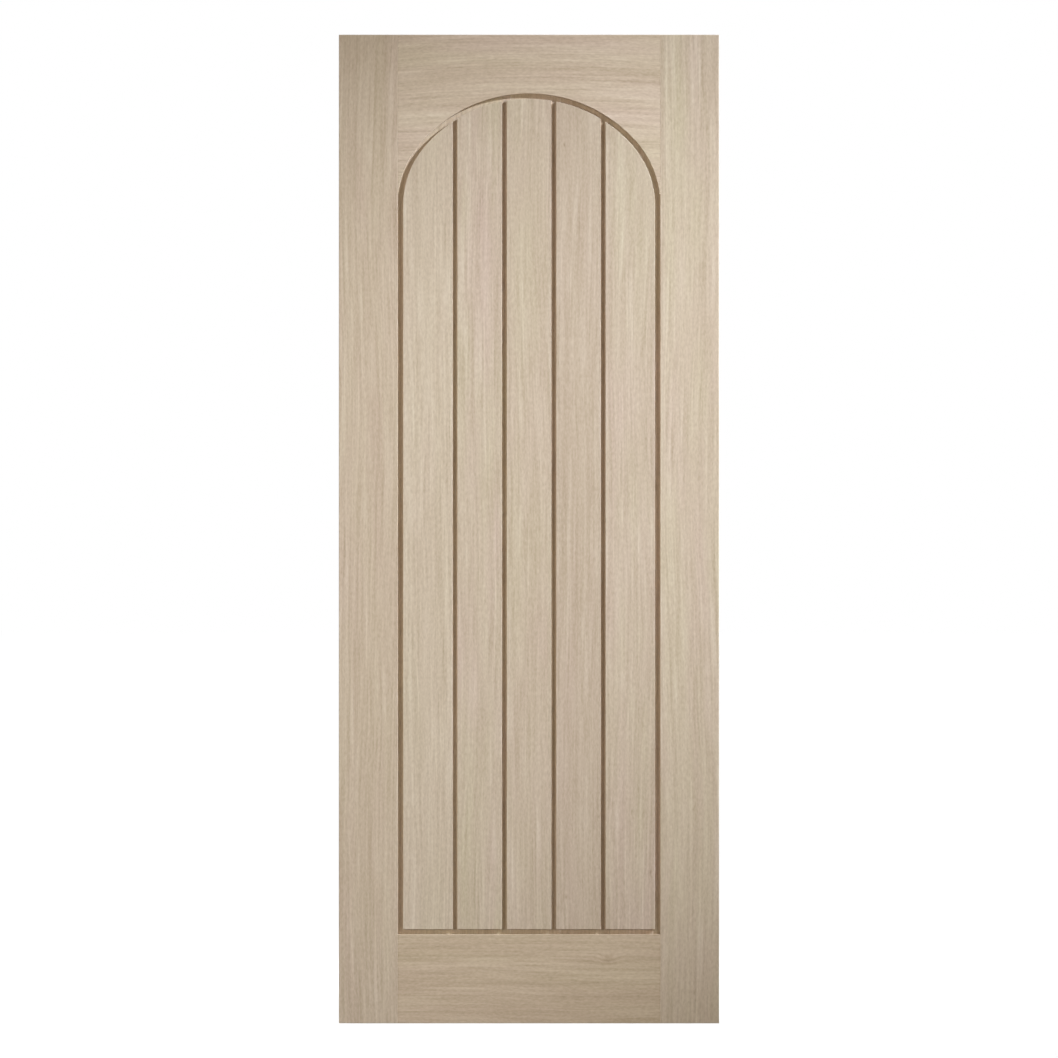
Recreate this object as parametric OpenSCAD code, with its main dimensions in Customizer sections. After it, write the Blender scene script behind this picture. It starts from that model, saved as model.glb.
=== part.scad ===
// Arched boarded door leaf. Two stiles and two rails are dowelled into a frame, and five tongued
// and grooved boards stand in a groove that runs round the inside of it. The opening ends in a
// three-centred arch: a crown arc, and two tighter shoulder arcs that run into the stiles.
// Both faces are alike. +X runs across the leaf, +Z up it, and the front face looks along -Y.
// The origin is under the middle of the leaf, on its bottom edge. Sizes are in millimetres.

/* [Leaf] */
// Width of the leaf over both stiles
door_w = 762; // [686:1:926]
// Height of the leaf
door_h = 1981; // [1830:1:2135]
// Thickness of the leaf
door_t = 35; // [32:1:44]
// Ease on the outer arrises of the leaf
outer_arris = 1; // [0.5:0.1:2]

/* [Frame] */
// Width of each stile
stile_w = 118; // [95:1:130]
// Height of the top rail over the crown of the arch
top_rail_h = 118; // [100:1:140]
// Height of the bottom rail
bottom_rail_h = 178; // [165:1:230]
// Bevel on each side of a joint between a stile and a rail
joint_bevel = 0.4; // [0.2:0.1:0.6]

/* [Arch] */
// How far the crown of the arch lies below a half circle on the same span
crown_drop = 40; // [15:1:80]
// Angle that each shoulder arc turns through before the crown arc takes over
shoulder_turn = 42.075; // [32:0.005:52]
// Width at which the feathered toe of the top rail is cut square
rail_toe = 1.2; // [1:0.1:2.5]

/* [Boards] */
// Distance from one channel between boards to the next
board_pitch = 99; // [90:1:110]
// Width of the channel between two boards
board_channel_w = 9.5; // [6:0.5:14]
// Width of the channel between the boards and the frame
frame_channel_w = 10.5; // [6:0.5:16]
// Depth of every channel, from each face
channel_depth = 8; // [4:0.5:9]
// Ease on the arrises of the channels
channel_arris = 0.4; // [0.2:0.1:1.5]
// How far the tongue of a board enters the next board
board_tongue = 8; // [5:0.5:12]
// Gap left beyond the tongue of a board for the wood to move
board_gap = 0.3; // [0.2:0.1:1]

/* [Housing] */
// Depth of the groove in the frame that houses the boards
housing_depth = 10; // [8:0.5:14]
// Gap left beyond a tongue in the frame for the wood to move
housing_gap = 1; // [0.5:0.1:2]
// Gap at each cheek of a tongue
cheek_gap = 0.15; // [0.1:0.05:0.3]

/* [Dowels] */
// Diameter of a dowel
dowel_d = 12; // [8:1:14]
// Length of a dowel
dowel_l = 100; // [70:1:130]
// Chamfer at each end of a dowel
dowel_chamfer = 1.5; // [0.5:0.1:2.5]
// Number of glue flutes round a dowel
dowel_flutes = 8; // [6:1:12]
// Diameter of the cutter that makes a glue flute
flute_d = 1; // [0.6:0.1:1.5]
// Gap between a dowel and the wall of its hole
glue_gap = 0.1; // [0.05:0.05:0.2]
// Depth left past each end of a dowel
dowel_end_gap = 1; // [0.5:0.5:3]
// Height of the outermost dowel of a joint from the top or the bottom of the leaf
dowel_margin = 35; // [25:1:45]
// Height of wood between the groove for the boards and the axis of the nearest dowel
dowel_cover = 25; // [15:1:35]

/* [Hidden] */
$fn = 180;
// Number of boards, and of dowels in a joint
board_count = 5;
dowel_count = 3;
// How far a cutting shape runs past the surface that it cuts
over = 2;
// Half the width of the opening
half_span = door_w / 2 - stile_w;
// Rise of the arch, and the heights of its crown and its springing line
arch_rise = half_span - crown_drop;
crown_z = door_h - top_rail_h;
spring_z = crown_z - arch_rise;
// Distance between the centres of the crown arc and a shoulder arc, and the radii that follow from it
meeting_way = [cos(shoulder_turn), sin(shoulder_turn)];
centre_gap = crown_drop / (meeting_way.x + meeting_way.y - 1);
crown_r = arch_rise + centre_gap * meeting_way.y;
shoulder_r = half_span - centre_gap * meeting_way.x;
// Centres of the crown arc and the right shoulder arc
crown_centre = [0, crown_z - crown_r];
shoulder_centre = [half_span - shoulder_r, spring_z];
// Point well outside the arch, on the line through both centres on which the two arcs meet
meeting_end = shoulder_centre + 2 * crown_r * meeting_way;
// Height of the arch line drawn in by inset, at a distance from the middle of the leaf
function arch_z(x, inset) = x < (crown_r - inset) * meeting_way.x
    ? crown_centre.y + sqrt(pow(crown_r - inset, 2) - pow(x, 2))
    : spring_z + sqrt(pow(shoulder_r - inset, 2) - pow(x - shoulder_centre.x, 2));
// Height above the springing line at which the top rail is a given width outside the shoulder arc
function toe_rise(width) = sqrt(pow(shoulder_r, 2) - pow(shoulder_r - width, 2));
toe_z = spring_z + toe_rise(rail_toe);
// Height from which the toe is wide enough for an ease on its arris
toe_ease_z = spring_z + toe_rise(rail_toe + joint_bevel + channel_arris);
// Thickness of every tongue and of the grooves that take them, and the length of a tongue in the frame
tongue_t = door_t - 2 * channel_depth;
housing_t = tongue_t + 2 * cheek_gap;
frame_tongue = housing_depth - housing_gap;
// Height of the floor of the groove in the bottom rail, on which the boards stand
housing_floor_z = bottom_rail_h - housing_depth;
// Height at which the groove round the arch leaves the end of the top rail
stub_foot_z = spring_z + sqrt(pow(shoulder_r + housing_depth, 2) - pow(shoulder_r, 2)) + housing_gap;
// Height of the lowest dowel of the top rail, over the groove at the inner end of its hole
lowest_top_dowel_z = dowel_cover
    + arch_z(half_span - dowel_l / 2 - dowel_end_gap, -housing_depth);
// Colours of the oak frame, the oak boards and the beech dowels
frame_colour = [0.77, 0.70, 0.62];
board_colour = [0.80, 0.73, 0.65];
dowel_colour = [0.85, 0.72, 0.56];

// Middle of the channel before board i, counted from the left
function channel_x(i) = (i - board_count / 2) * board_pitch;
// Left and right edges of the face of board i, and the reach of its tongues
function face_left(i) = i == 0 ? -half_span : channel_x(i) + board_channel_w / 2;
function face_right(i) = i == board_count - 1 ? half_span : channel_x(i + 1) - board_channel_w / 2;
function core_left(i) = i == 0
    ? -half_span - housing_depth
    : face_left(i) + board_tongue + board_gap;
function core_right(i) = i == board_count - 1
    ? half_span + housing_depth
    : face_right(i) + board_channel_w + board_tongue;

// Stands a drawing of x and z up in the leaf, with its depth along y
module upright() {
    rotate([90, 0, 0]) children();
}

// Extrudes a drawing of x and z to a thickness, in the middle of the leaf
module slab(thickness) {
    upright() linear_extrude(thickness, center = true) children();
}

// Rectangle of x and z between two corners
module panel(low, high) {
    polygon([low, [high.x, low.y], high, [low.x, high.y]]);
}

// Sector of the drawing that the crown arc bounds
module crown_sector() {
    polygon([
        crown_centre,
        shoulder_centre,
        meeting_end,
        crown_centre + [0, 3 * crown_r],
        [-meeting_end.x, meeting_end.y],
        [-shoulder_centre.x, shoulder_centre.y]
    ]);
}

// Sector of the drawing that the right shoulder arc bounds
module shoulder_sector() {
    polygon([
        shoulder_centre,
        shoulder_centre + [2 * crown_r, 0],
        meeting_end
    ]);
}

// Space under the arch, drawn in from the arch line by inset, or out from it where inset is negative
module arch_space(inset) {
    intersection() {
        translate(crown_centre) circle(crown_r - inset);
        crown_sector();
    }
    for (side = [0, 1])
        mirror([side, 0]) {
            intersection() {
                translate(shoulder_centre) circle(shoulder_r - inset);
                shoulder_sector();
            }
            // Covers the line on which the two sectors meet
            polygon([
                [0, spring_z],
                shoulder_centre + [shoulder_r / 2, 0],
                shoulder_centre + (shoulder_r - inset - over) * meeting_way
            ]);
        }
}

// Whole opening, with its lower edge at foot_z and its sides and arch drawn in by inset
module opening(inset, foot_z) {
    arch_space(inset);
    panel([inset - half_span, foot_z], [half_span - inset, spring_z]);
}

// Cutting profile that eases an edge at x = 0 on both faces, where the wood lies on the -x side
module ease_profile(ease) {
    face = door_t / 2;
    for (side = [0, 1])
        mirror([0, side])
            polygon([
                [over, face - ease - over],
                [over, face + over],
                [-ease - over, face + over]
            ]);
}

// Eases a straight edge from one point to another, with the wood on the right of that way
module ease_line(from, to, ease) {
    way = to - from;
    upright()
        translate(from)
            rotate([90, 0, 90 + atan2(way.y, way.x)])
                linear_extrude(norm(way)) ease_profile(ease);
}

// Eases a hole of a radius on both faces, where the wood lies outside it
module ease_hole(radius) {
    for (side = [0, 1])
        mirror([0, 0, side])
            translate([0, 0, door_t / 2 - channel_arris - over])
                cylinder(
                    h = channel_arris + 2 * over,
                    r1 = radius - over,
                    r2 = radius + channel_arris + over
                );
}

// Eases the rim of a disc of a radius on both faces, where the wood lies inside it
module ease_disc(radius) {
    for (side = [0, 1])
        mirror([0, 0, side])
            translate([0, 0, door_t / 2 - channel_arris - over])
                difference() {
                    cylinder(h = channel_arris + 2 * over, r = radius + over / 2);
                    cylinder(
                        h = channel_arris + 2 * over,
                        r1 = radius + over,
                        r2 = radius - channel_arris - over
                    );
                }
}

// Keeps what lies in a sector of the drawing, through the whole thickness
module within_sector(sector_h) {
    intersection() {
        children(0);
        linear_extrude(sector_h, center = true) children(1);
    }
}

// Eases the arched edge of the top rail, from where its toes are wide enough
module ease_rail_arch() {
    depth = door_t + 4 * over;
    upright() {
        within_sector(depth) {
            translate(crown_centre) ease_hole(crown_r);
            crown_sector();
        }
        for (side = [0, 1])
            mirror([side, 0, 0])
                within_sector(depth) {
                    translate(shoulder_centre) ease_hole(shoulder_r);
                    intersection() {
                        shoulder_sector();
                        panel([0, toe_ease_z], [2 * half_span, door_h]);
                    }
                }
    }
}

// Eases the arched heads of the boards
module ease_board_arch() {
    depth = door_t + 4 * over;
    upright() {
        within_sector(depth) {
            translate(crown_centre) ease_disc(crown_r - frame_channel_w);
            crown_sector();
        }
        for (side = [0, 1])
            mirror([side, 0, 0])
                within_sector(depth) {
                    translate(shoulder_centre) ease_disc(shoulder_r - frame_channel_w);
                    shoulder_sector();
                }
    }
}

// Eases the outer edges of the leaf
module ease_leaf() {
    low = [-door_w / 2, 0];
    high = [door_w / 2, door_h];
    corners = [low, [low.x, high.y], high, [high.x, low.y]];
    for (i = [0 : 3]) ease_line(corners[i], corners[(i + 1) % 4], outer_arris);
}

// Height of dowel i of a joint, spread evenly between the end of the stile and the groove
function spread(i, first, last) = first + i * (last - first) / (dowel_count - 1);
function top_dowel_z(i) = spread(i, door_h - dowel_margin, lowest_top_dowel_z);
function bottom_dowel_z(i) = spread(i, dowel_margin, housing_floor_z - dowel_cover);

// Holes for the dowels of both rails, in the joints of the right-hand stile
module right_dowel_holes() {
    for (i = [0 : dowel_count - 1])
        for (z = [top_dowel_z(i), bottom_dowel_z(i)])
            translate([half_span, 0, z])
                rotate([0, 90, 0])
                    cylinder(h = dowel_l + 2 * dowel_end_gap, d = dowel_d + 2 * glue_gap, center = true);
}

// Stile of the right-hand side, grooved along its whole inner edge
module stile() {
    color(frame_colour)
        difference() {
            slab(door_t) panel([half_span, 0], [door_w / 2, door_h]);
            translate([0, 0, door_h / 2])
                cube([2 * (half_span + housing_depth), housing_t, door_h + 2 * over], center = true);
            right_dowel_holes();
            ease_leaf();
            ease_line([half_span, -over], [half_span, bottom_rail_h], joint_bevel);
            ease_line([half_span, bottom_rail_h], [half_span, toe_z], channel_arris);
            ease_line([half_span, toe_z], [half_span, door_h + over], joint_bevel);
        }
}

module right_stile() {
    stile();
}

module left_stile() {
    mirror([1, 0, 0]) stile();
}

// Shared work on both ends of a rail: dowel holes and joint bevels
module rail_ends(low_z, high_z) {
    for (side = [0, 1])
        mirror([side, 0, 0]) {
            right_dowel_holes();
            ease_line([half_span, high_z], [half_span, low_z], joint_bevel);
        }
}

// Top rail, with spandrels that run down to a thin toe on each stile, and a groove round its arch
module top_rail() {
    color(frame_colour)
        difference() {
            union() {
                slab(door_t)
                    difference() {
                        panel([-half_span, toe_z], [half_span, door_h]);
                        arch_space(0);
                    }
                slab(tongue_t)
                    panel([-half_span - frame_tongue, stub_foot_z], [half_span + frame_tongue, door_h]);
            }
            slab(housing_t) arch_space(-housing_depth);
            rail_ends(toe_z - over, door_h + over);
            ease_rail_arch();
            ease_leaf();
        }
}

// Bottom rail, with a groove along its top edge on whose floor the boards stand
module bottom_rail() {
    color(frame_colour)
        difference() {
            union() {
                slab(door_t) panel([-half_span, 0], [half_span, bottom_rail_h]);
                slab(tongue_t)
                    panel([-half_span - frame_tongue, 0], [half_span + frame_tongue, housing_floor_z]);
            }
            slab(housing_t)
                panel([-half_span - over, housing_floor_z], [half_span + over, bottom_rail_h + over]);
            rail_ends(-over, bottom_rail_h + over);
            ease_line([-half_span - over, bottom_rail_h], [half_span + over, bottom_rail_h], channel_arris);
            ease_leaf();
        }
}

// Part of a drawing between two distances from the middle of the leaf
module strip(left, right) {
    intersection() {
        children();
        panel([left, 0], [right, door_h]);
    }
}

// Board i from the left: a full-thickness face with eased arrises, and a core that makes its tongues
module board(i) {
    face_foot_z = bottom_rail_h + frame_channel_w;
    field_half = half_span - frame_channel_w;
    left = max(face_left(i), -field_half);
    right = min(face_right(i), field_half);
    first = i == 0;
    last = i == board_count - 1;
    color(board_colour)
        union() {
            difference() {
                slab(door_t)
                    strip(face_left(i), face_right(i)) opening(frame_channel_w, face_foot_z);
                if (!first)
                    slab(housing_t) panel([left - over, 0], [core_left(i), door_h]);
                ease_line([left, face_foot_z - over], [left, first ? spring_z : crown_z], channel_arris);
                ease_line([right, last ? spring_z : crown_z], [right, face_foot_z - over], channel_arris);
                ease_line([right + over, face_foot_z], [left - over, face_foot_z], channel_arris);
                ease_board_arch();
            }
            slab(tongue_t)
                strip(core_left(i), core_right(i)) opening(-frame_tongue, housing_floor_z);
        }
}

module board_1() {
    board(0);
}

module board_2() {
    board(1);
}

module board_3() {
    board(2);
}

module board_4() {
    board(3);
}

module board_5() {
    board(4);
}

// Dowel along x, chamfered at both ends and fluted for glue
module dowel() {
    half_l = dowel_l / 2;
    r = dowel_d / 2;
    rotate([0, 90, 0])
        difference() {
            rotate_extrude()
                polygon([
                    [0, -half_l],
                    [r - dowel_chamfer, -half_l],
                    [r, dowel_chamfer - half_l],
                    [r, half_l - dowel_chamfer],
                    [r - dowel_chamfer, half_l],
                    [0, half_l]
                ]);
            for (flute = [0 : dowel_flutes - 1])
                rotate(flute * 360 / dowel_flutes)
                    translate([r, 0, 0])
                        cylinder(h = dowel_l + over, d = flute_d, center = true);
        }
}

module top_right_dowels() {
    color(dowel_colour)
        for (i = [0 : dowel_count - 1]) translate([half_span, 0, top_dowel_z(i)]) dowel();
}

module bottom_right_dowels() {
    color(dowel_colour)
        for (i = [0 : dowel_count - 1]) translate([half_span, 0, bottom_dowel_z(i)]) dowel();
}

module top_left_dowels() {
    mirror([1, 0, 0]) top_right_dowels();
}

module bottom_left_dowels() {
    mirror([1, 0, 0]) bottom_right_dowels();
}

left_stile();
right_stile();
top_rail();
bottom_rail();
board_1();
board_2();
board_3();
board_4();
board_5();
top_left_dowels();
top_right_dowels();
bottom_left_dowels();
bottom_right_dowels();
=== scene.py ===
import math

import bpy
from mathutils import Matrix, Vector


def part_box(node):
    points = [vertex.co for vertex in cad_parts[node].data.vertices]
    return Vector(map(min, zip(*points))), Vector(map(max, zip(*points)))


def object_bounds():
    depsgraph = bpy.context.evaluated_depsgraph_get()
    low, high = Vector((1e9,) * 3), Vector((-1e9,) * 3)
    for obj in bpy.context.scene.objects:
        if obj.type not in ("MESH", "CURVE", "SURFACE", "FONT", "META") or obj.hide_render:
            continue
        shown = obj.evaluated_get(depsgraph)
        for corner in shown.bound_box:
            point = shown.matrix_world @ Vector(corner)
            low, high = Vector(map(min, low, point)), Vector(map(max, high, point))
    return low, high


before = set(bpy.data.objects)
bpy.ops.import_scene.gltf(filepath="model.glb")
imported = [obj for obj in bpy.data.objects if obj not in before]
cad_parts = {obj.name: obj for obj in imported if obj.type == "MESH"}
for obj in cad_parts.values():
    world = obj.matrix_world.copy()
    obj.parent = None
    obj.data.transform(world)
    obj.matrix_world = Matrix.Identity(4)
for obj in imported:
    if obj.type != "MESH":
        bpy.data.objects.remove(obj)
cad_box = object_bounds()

# Bottom rail
# The lowest member of the frame: one level plank of pale oak, grooved along its top edge for the
# boards and stub-tongued into both stiles. It is planed, sanded and sealed with a matt lacquer.


def picture_colour(red, green, blue):
    """Linear colour from the 0 to 255 values of a picture, with full alpha."""
    shares = [value / 255 for value in (red, green, blue)]
    return [s / 12.92 if s <= 0.04045 else ((s + 0.055) / 1.055) ** 2.4 for s in shares] + [1.0]


class Flow:
    """A socket in a material's nodes. Arithmetic on it adds Math nodes."""

    def __init__(self, tree, socket=None):
        self.tree = tree
        self.socket = socket

    def node(self, kind, settings=None, inputs=None, output=0):
        """Adds a node, sets it up, gives its sockets their values or links, and wraps an output."""
        made = self.tree.nodes.new(kind)
        for name, value in (settings or {}).items():
            if name == "stops":
                elements = made.color_ramp.elements
                while len(elements) < len(value):
                    elements.new(1.0)
                for element, (position, colour) in zip(elements, value):
                    element.position = position
                    element.color = colour
            else:
                setattr(made, name, value)
        for name, value in (inputs or {}).items():
            if isinstance(value, Flow):
                self.tree.links.new(value.socket, made.inputs[name])
            else:
                made.inputs[name].default_value = value
        return Flow(self.tree, made.outputs[output]) if made.outputs else None

    def out(self, name):
        """Another output of the node that this socket belongs to."""
        return Flow(self.tree, self.socket.node.outputs[name])

    def math(self, operation, first, second=0.0):
        return self.node("ShaderNodeMath", {"operation": operation}, {0: first, 1: second})

    def __add__(self, other):
        return self.math("ADD", self, other)

    def __radd__(self, other):
        return self.math("ADD", other, self)

    def __sub__(self, other):
        return self.math("SUBTRACT", self, other)

    def __rsub__(self, other):
        return self.math("SUBTRACT", other, self)

    def __mul__(self, other):
        return self.math("MULTIPLY", self, other)

    def __rmul__(self, other):
        return self.math("MULTIPLY", other, self)

    def __truediv__(self, other):
        return self.math("DIVIDE", self, other)

    def __pow__(self, other):
        return self.math("POWER", self, other)


def new_finish(name):
    """An empty material, and the start of its nodes."""
    material = bpy.data.materials.new(name)
    material.use_nodes = True
    material.node_tree.nodes.clear()
    return material, Flow(material.node_tree)


def mix_colours(surface, share, first, second, blend_type="MIX"):
    """Two colours mixed by the share of the second, through the colour sockets of a Mix node."""
    return surface.node(
        "ShaderNodeMix",
        {"data_type": "RGBA", "blend_type": blend_type},
        {0: share, 6: first, 7: second},
        output=2,
    )


OAK_SHADES = [
    (0.0, picture_colour(169, 150, 126)),
    (0.25, picture_colour(189, 171, 148)),
    (0.5, picture_colour(202, 185, 163)),
    (0.75, picture_colour(213, 198, 177)),
    (1.0, picture_colour(222, 209, 190)),
]

# Layers of the figure: stretch along the grain, waves to the metre, detail, and step along the log
DRIFT = (0.45, 3.0, 0.0, 0.0)
SWAY = (0.3, 16.0, 1.0, 5.0)
RINGS = (0.002, 150.0, 1.0, 0.0)
BANDS = (0.045, 45.0, 1.0, 3.0)
CROWDING = (0.1, 28.0, 1.0, 23.0)
STREAKS = (0.033, 215.0, 1.0, 7.0)
FLECKS = (0.39, 320.0, 1.0, 11.0)
PORES = (0.045, 1300.0, 0.0, 13.0)
CREAM = (0.022, 170.0, 0.0, 29.0)
HUES = (0.12, 22.0, 2.0, 17.0)

# Metres by which the lines sway and lean back, and a knot's length and push for its width
SWAY_REACH = 0.006
DRIFT_BACK = 0.020
KNOT_LENGTH = 1.7
KNOT_PUSH = 0.7

# How unevenly streaks crowd, how far pores keep to the rings, and where pores and cream lines set in
CROWDING_SWING = 1.6
PORES_ON_RINGS = 0.35
PORE_START, PORE_FULL = 0.14, 0.26
CREAM_START, CREAM_FULL = 0.14, 0.30

# What the layers add to the middle shade of the wood
MIDDLE_SHADE = 0.49
RING_LIGHT = 0.35
BAND_LIGHT = 0.3
STREAK_LIGHT = 0.60
FLECK_LIGHT = 0.56
CREAM_LIGHT = 0.16

# What cut ends, knots, pores and glue lines take from it, and the painted highlight that eased arrises get
END_DARK = 0.35
KNOT_DARK = 0.3
PORE_DARK = 0.10
GLUE_DARK = 0.2
GLUE_WIDTH = 0.0022
PAINTED_ARRIS_HIGHLIGHT = 0.45

# How far broad stretches part into yellow and pink at a blush of one, and how soon
HUE_LEAN = 0.01
HUE_CONTRAST = 2.2

# The matt lacquer, and how strongly and how deep the grain is felt through it
LACQUER_ROUGHNESS = 0.56
LACQUER_GLOSS = 0.3
GRAIN_STRENGTH = 0.2
GRAIN_DEPTH = 0.0002


def oak(
    name, upright, log_shift, heart, tint, wander=0.03, figure=1.0, blush=1.0, knots=(), glued_end=None
):
    """Pale oak cut from one plank. The grain runs up the piece or along it, log_shift is where in the
    log the plank was cut, and heart is where the log's heart lies (across the grain, and behind the
    middle of the leaf). tint is the plank's own shade, wander is how far its lines lean, figure how
    strongly they show, and blush how far its broad stretches part into yellow and pink. knots are
    (across, along, size), and glued_end is how far from the middle of the leaf the piece runs before
    its glued joints."""
    material, wood = new_finish(name)
    place = wood.node("ShaderNodeTexCoord", output="Object")
    x = wood.node("ShaderNodeSeparateXYZ", inputs={0: place})
    depth = x.out("Y")
    across, along = (x, x.out("Z")) if upright else (x.out("Z"), x)

    def noise(first, second, layer):
        """One layer of the figure, from minus to plus a half, drawn out along the grain."""
        stretch, waves, detail, log_step = layer
        lengthwise = along * stretch + (log_shift + log_step)
        spot = wood.node("ShaderNodeCombineXYZ", inputs={0: first, 1: second, 2: lengthwise})
        return wood.node(
            "ShaderNodeTexNoise",
            {"noise_dimensions": "3D"},
            {"Vector": spot, "Scale": waves, "Detail": detail, "Roughness": 0.5},
        ) - 0.5

    def soft_step(value, start, end, height):
        """Nothing up to the start, the height from the end on, and a soft step between them."""
        return wood.node(
            "ShaderNodeMapRange",
            {"interpolation_type": "SMOOTHSTEP"},
            {"Value": value, "From Min": start, "From Max": end, "To Min": 0.0, "To Max": height},
        )

    # Knots push the lines of the grain aside and leave a darker eye
    eye = 0.0
    swell = 0.0
    for knot_across, knot_along, knot_size in knots:
        side = (across - knot_across) / knot_size
        length = (along - knot_along) / (KNOT_LENGTH * knot_size)
        near = wood.math("EXPONENT", (side * side + length * length) * -1.0)
        swell = near * knot_size * KNOT_PUSH + swell
        eye = near ** 3.0 + eye

    # The lines wander slowly up the log
    drift = noise(across, depth, DRIFT)
    sway = noise(across, depth, SWAY)
    tangent = across - heart[0] + drift * wander + sway * SWAY_REACH + swell
    radial = depth - heart[1] + drift * DRIFT_BACK
    radius = wood.math("SQRT", tangent * tangent + radial * radial)

    # Growth rings follow the log's round, the finer figure follows its fibres, and a few lines are cream
    rings = noise(radius, 0.0, RINGS) * figure
    bands = noise(tangent, radial, BANDS) * figure
    crowding = noise(tangent, radial, CROWDING) * CROWDING_SWING + 1.0
    streaks = noise(tangent, radial, STREAKS) * crowding
    flecks = noise(tangent, radial, FLECKS)
    pores = noise(tangent, radial, PORES) + rings * PORES_ON_RINGS
    pore = soft_step(pores, PORE_START, PORE_FULL, 1.0)
    cream = soft_step(noise(tangent, radial, CREAM), CREAM_START, CREAM_FULL, 1.0)

    # Cut ends soak up more lacquer and turn darker, and so does the glue line of a joint. The eased
    # arrises, which slope at 45 degrees to the faces, are made paler as a painted highlight
    normal = wood.node("ShaderNodeNewGeometry", output="Normal")
    facing = wood.node("ShaderNodeSeparateXYZ", inputs={0: normal})
    lengthways = wood.math("ABSOLUTE", facing.out("Z") if upright else facing)
    outward = facing.out("Y") * facing.out("Y")
    # Painted highlight: the colour is lightened where a face slopes at about 45 degrees, on the arrises
    arris_highlight = (outward * (1.0 - outward) * 4.0) ** 4.0
    dark = lengthways ** 6.0 * END_DARK + eye * KNOT_DARK + pore * PORE_DARK - arris_highlight * PAINTED_ARRIS_HIGHLIGHT
    if glued_end:
        reach = wood.math("ABSOLUTE", along)
        dark = dark + soft_step(reach, glued_end - GLUE_WIDTH, glued_end, GLUE_DARK)

    light = rings * RING_LIGHT + bands * BAND_LIGHT + streaks * STREAK_LIGHT + flecks * FLECK_LIGHT
    light = light + cream * CREAM_LIGHT + MIDDLE_SHADE - dark
    colour = wood.node("ShaderNodeValToRGB", {"stops": OAK_SHADES}, {"Fac": light})

    # Broad stretches lean to yellow or to pink
    hue = noise(tangent, radial, HUES)
    lean = HUE_LEAN * blush
    yellow = [tint[0], tint[1] * (1.0 + lean), tint[2] * (1.0 - 2.0 * lean), 1.0]
    pink = [tint[0] * (1.0 + 1.2 * lean), tint[1] * (1.0 - lean), tint[2] * (1.0 + lean), 1.0]
    plank_tint = mix_colours(wood, hue * HUE_CONTRAST + 0.5, yellow, pink)

    relief = streaks * 0.4 + flecks * 0.3 - pore * 0.6
    bump = wood.node(
        "ShaderNodeBump",
        inputs={"Strength": GRAIN_STRENGTH, "Distance": GRAIN_DEPTH, "Height": relief},
    )
    shader = wood.node(
        "ShaderNodeBsdfPrincipled",
        inputs={
            "Base Color": mix_colours(wood, 1.0, colour, plank_tint, "MULTIPLY"),
            "Roughness": LACQUER_ROUGHNESS + pore * 0.15 - streaks * 0.1,
            "Specular IOR Level": LACQUER_GLOSS,
            "Normal": bump,
        },
    )
    wood.node("ShaderNodeOutputMaterial", inputs={"Surface": shader})
    return material


def finish_with(node_name, material):
    """Gives a piece of the leaf its finish in place of the plain one that it came with."""
    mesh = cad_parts[node_name].data
    mesh.materials.clear()
    mesh.materials.append(material)


JOINT_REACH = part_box("right_stile")[0].x
bottom_rail_oak = oak(
    "bottom_rail_oak",
    upright=False,
    log_shift=21.0,
    heart=(0.05, 0.11),
    tint=(1.012, 0.965, 0.910),
    wander=0.05,
    figure=1.4,
    knots=[(0.127, 0.159, 0.012)],
    glued_end=JOINT_REACH,
)
finish_with("bottom_rail", bottom_rail_oak)

# Boards
# Five upright oak boards, tongued and grooved into each other and into the frame. They stand on the
# floor of the bottom rail's groove, and their heads are cut to the line of the arch.
BOARD_LOG_STEP = 2.7
HEART_ASIDE = 0.15
HEART_BEHIND = 0.10
FOURTH_BOARD_KNOTS = [(0.071, 1.760, 0.004), (0.139, 0.414, 0.004), (0.073, 0.253, 0.005)]
FIFTH_BOARD_KNOTS = [(0.207, 0.424, 0.006), (0.243, 0.302, 0.005)]
BOARD_LOOKS = (
    {"tint": (1.068, 1.064, 1.064), "figure": 0.8, "blush": 0.7},
    {"tint": (1.018, 1.007, 1.019), "figure": 0.8, "blush": 2.2},
    {"tint": (1.007, 0.986, 0.993), "figure": 1.0, "blush": 1.5},
    {"tint": (0.953, 0.917, 0.919), "figure": 1.05, "blush": 0.8, "knots": FOURTH_BOARD_KNOTS},
    {"tint": (1.018, 1.004, 1.020), "figure": 1.25, "blush": 1.9, "knots": FIFTH_BOARD_KNOTS},
)
for number, look in enumerate(BOARD_LOOKS, 1):
    node_name = f"board_{number}"
    low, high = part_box(node_name)
    heart = ((low.x + high.x) / 2 + HEART_ASIDE, HEART_BEHIND)
    finish_with(node_name, oak(f"{node_name}_oak", True, BOARD_LOG_STEP * number, heart, **look))

# Top rail
# One wide oak plank over the arch, its lower edge sawn to a flat crown and two tighter shoulders that
# run down to thin toes on the stiles. The groove round the arch takes the heads of the boards.
top_rail_oak = oak(
    "top_rail_oak",
    upright=False,
    log_shift=37.0,
    heart=(1.95, 0.10),
    tint=(1.069, 1.040, 1.039),
    wander=-0.08,
    figure=1.6,
    blush=1.4,
    glued_end=JOINT_REACH,
)
finish_with("top_rail", top_rail_oak)

# Dowels
# Fluted beech pegs, three in each of the four corners, glued into blind holes in the ends of the rails
# and the edges of the stiles. They are left raw, and are hidden once the leaf is glued up.
BEECH_SHADES = [(0.0, picture_colour(176, 134, 94)), (1.0, picture_colour(230, 198, 158))]
ALONG_THE_PEG = [0.12, 1.0, 1.0]
dowel_beech, peg = new_finish("dowel_beech")
peg_place = peg.node("ShaderNodeTexCoord", output="Object")
drawn_out = peg.node("ShaderNodeMapping", inputs={"Vector": peg_place, "Scale": ALONG_THE_PEG})
fibre = peg.node("ShaderNodeTexNoise", inputs={"Vector": drawn_out, "Scale": 900.0, "Detail": 2.0})
ray = peg.node("ShaderNodeTexVoronoi", inputs={"Vector": drawn_out, "Scale": 620.0})
tick = peg.node(
    "ShaderNodeMapRange",
    inputs={"Value": ray, "From Min": 0.12, "From Max": 0.22, "To Min": 0.22, "To Max": 0.0},
)
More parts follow.
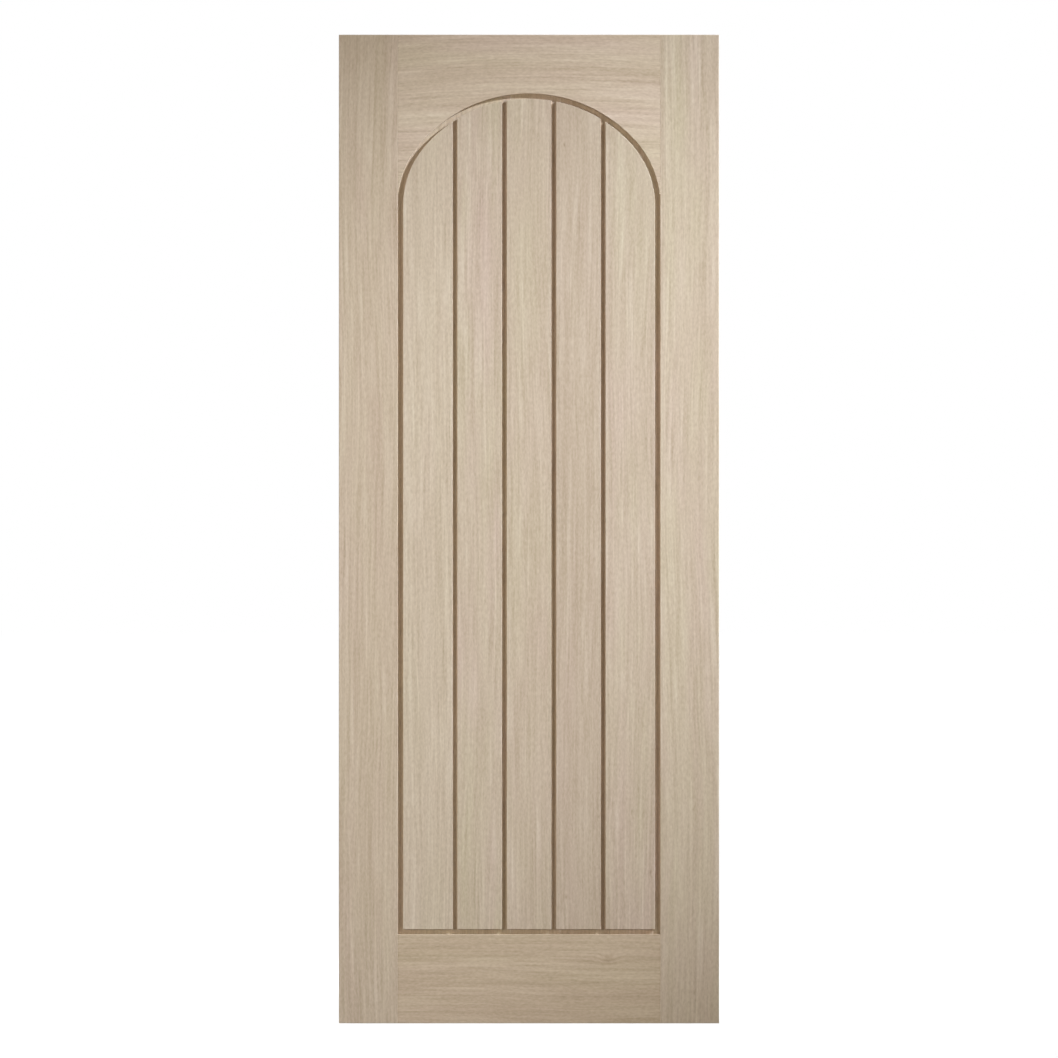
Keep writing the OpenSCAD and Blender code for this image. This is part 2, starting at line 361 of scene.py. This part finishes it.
peg_colour = peg.node("ShaderNodeValToRGB", {"stops": BEECH_SHADES}, {"Fac": fibre * 0.7 + 0.3 - tick})
peg_bump = peg.node(
    "ShaderNodeBump",
    inputs={"Strength": GRAIN_STRENGTH, "Distance": GRAIN_DEPTH, "Height": fibre - tick},
)
peg_shader = peg.node(
    "ShaderNodeBsdfPrincipled",
    inputs={
        "Base Color": peg_colour,
        "Roughness": 0.62 + fibre * 0.15,
        "Specular IOR Level": 0.25,
        "Normal": peg_bump,
    },
)
peg.node("ShaderNodeOutputMaterial", inputs={"Surface": peg_shader})
for corner in ("top_left", "top_right", "bottom_left", "bottom_right"):
    finish_with(f"{corner}_dowels", dowel_beech)

# Stiles
# The two full-height uprights, grooved along their inner edges and pressed on to the ends of the rails
# last. The fitter hangs the leaf on one and lets the lock into the other.
left_stile_oak = oak(
    "left_stile_oak",
    upright=True,
    log_shift=61.0,
    heart=(-0.15, 0.12),
    tint=(1.011, 0.980, 0.963),
    wander=0.05,
    figure=1.15,
)
right_stile_oak = oak(
    "right_stile_oak",
    upright=True,
    log_shift=73.0,
    heart=(0.52, 0.14),
    tint=(1.031, 1.028, 1.023),
    blush=1.8,
)
finish_with("left_stile", left_stile_oak)
finish_with("right_stile", right_stile_oak)

# Floor and white surround
# A plain pale floor that runs out of sight under an even white surround. To the camera they are
# nearly white by themselves, and the floor still takes the leaf's shadow.
FLOOR_REACH = 30.0
FLOOR_GLOW = 0.9
FLOOR_COLOUR = [0.9, 0.9, 0.9, 1.0]
FLOOR_BOUNCE = [0.03, 0.03, 0.03, 1.0]
AMBIENT_SHADE = [0.060, 0.045, 0.030, 1.0]
WHITE = [1.0, 1.0, 1.0, 1.0]
bpy.ops.object.select_all(action="DESELECT")
bpy.ops.mesh.primitive_circle_add(vertices=96, radius=FLOOR_REACH, fill_type="NGON")
floor = bpy.context.object
floor.name = "floor"


def seen_plainly(surface):
    """One for a ray from the camera or off a gloss or through glass, and nothing for other rays."""
    path = surface.node("ShaderNodeLightPath", output="Is Camera Ray")
    mirror = surface.math("MAXIMUM", path.out("Is Glossy Ray"), path.out("Is Transmission Ray"))
    return surface.math("MAXIMUM", path, mirror)


floor_finish, paint = new_finish("pale_floor")
plain = seen_plainly(paint)
floor_shade = mix_colours(paint, plain, FLOOR_BOUNCE, FLOOR_COLOUR)
matt = paint.node("ShaderNodeBsdfDiffuse", inputs={"Color": floor_shade})
glow = paint.node("ShaderNodeEmission", inputs={"Color": WHITE, "Strength": 1.0})
shown = paint.node("ShaderNodeMixShader", inputs={0: plain * FLOOR_GLOW, 1: matt, 2: glow})
paint.node("ShaderNodeOutputMaterial", inputs={"Surface": shown})
floor.data.materials.append(floor_finish)

surround = bpy.data.worlds.new("white_surround")
bpy.context.scene.world = surround
surround.use_nodes = True
surround.node_tree.nodes.clear()
air = Flow(surround.node_tree)
seen = mix_colours(air, seen_plainly(air), AMBIENT_SHADE, WHITE)
sky = air.node("ShaderNodeBackground", inputs={"Color": seen, "Strength": 1.0})
air.node("ShaderNodeOutputWorld", inputs={"Surface": sky})

# Lamps
# A key lamp high on the right rakes across the front and fills its channels with shadow, and two warmer
# fill lamps at chest height, far left and far right, lift those shadows. The back has a gentler key and
# the same fill lamps, turned round.
KEY_COLOUR = (0.79, 0.872, 0.970)
KEY_SIZE = 0.12
FRONT_KEY_PLACE = (4.6, -2.4, 4.55)
FRONT_KEY_AIM = (-1.105, 0.0, 0.292)
FRONT_KEY_CONE = 26.0
FRONT_KEY_POWER = 3258.0
BACK_KEY_PLACE = (-4.4, 3.2, 3.6)
BACK_KEY_AIM = (0.0, 0.0, 1.0)
BACK_KEY_CONE = 50.0
BACK_KEY_POWER = 2000.0
FILL_COLOUR = (1.0, 0.905, 0.745)
FILL_SIZE = 0.3
FILL_PLACE = (4.2, -5.0, 1.3)
FILL_AIM = (-2.0, 0.0, 1.0)
FILL_CONE = 50.0
FILL_POWERS = (("left", -1.0, 440.0), ("right", 1.0, 324.0))
OVERHEAD_HEIGHT = 4.0
OVERHEAD_LEVEL = 3.6
OVERHEAD_ANGLE = 10.0
bpy.context.scene.view_settings.view_transform = "Standard"


def lamp(name, place, aim, cone, power, colour, size):
    """A soft-edged lamp at a place, turned to a point, with its cone in degrees and its power in watts."""
    bpy.ops.object.light_add(type="SPOT", location=place)
    made = bpy.context.object
    made.name = name
    made.rotation_euler = (Vector(aim) - Vector(place)).to_track_quat("-Z", "Y").to_euler()
    made.data.spot_size = math.radians(cone)
    made.data.spot_blend = 1.0
    made.data.energy = power
    made.data.color = colour
    made.data.shadow_soft_size = size


lamp(
    "front_key_lamp", FRONT_KEY_PLACE, FRONT_KEY_AIM, FRONT_KEY_CONE, FRONT_KEY_POWER, KEY_COLOUR, KEY_SIZE
)
lamp("back_key_lamp", BACK_KEY_PLACE, BACK_KEY_AIM, BACK_KEY_CONE, BACK_KEY_POWER, KEY_COLOUR, KEY_SIZE)
for side, turn in (("front", 1.0), ("back", -1.0)):
    for hand, way, power in FILL_POWERS:
        place = (FILL_PLACE[0] * way * turn, FILL_PLACE[1] * turn, FILL_PLACE[2])
        aim = (FILL_AIM[0] * way * turn, FILL_AIM[1], FILL_AIM[2])
        lamp(f"{side}_{hand}_fill_lamp", place, aim, FILL_CONE, power, FILL_COLOUR, FILL_SIZE)

# The overhead lamp lights the floor alone
bpy.ops.object.light_add(type="SUN", location=(0.0, 0.0, OVERHEAD_HEIGHT))
overhead = bpy.context.object
overhead.name = "overhead_lamp"
overhead.data.energy = OVERHEAD_LEVEL
overhead.data.angle = math.radians(OVERHEAD_ANGLE)
floor_alone = bpy.data.collections.new("floor_alone")
floor_alone.objects.link(floor)
overhead.light_linking.receiver_collection = floor_alone

# Camera
# It stands far off at half the leaf's height and looks straight at the front, so that the edges of the
# leaf stay upright and level in the picture.
CAMERA_AWAY = 8.0
PICTURE_HEIGHT = 2.1197
SENSOR = 36.0
AIM = (0.0, 0.9905)
front = cad_box[0].y
bpy.ops.object.camera_add(location=(AIM[0], front - CAMERA_AWAY, AIM[1]), rotation=(math.pi / 2, 0.0, 0.0))
camera = bpy.context.object
camera.name = "camera"
camera.data.sensor_width = SENSOR
camera.data.lens = SENSOR * CAMERA_AWAY / PICTURE_HEIGHT
bpy.context.scene.camera = camera
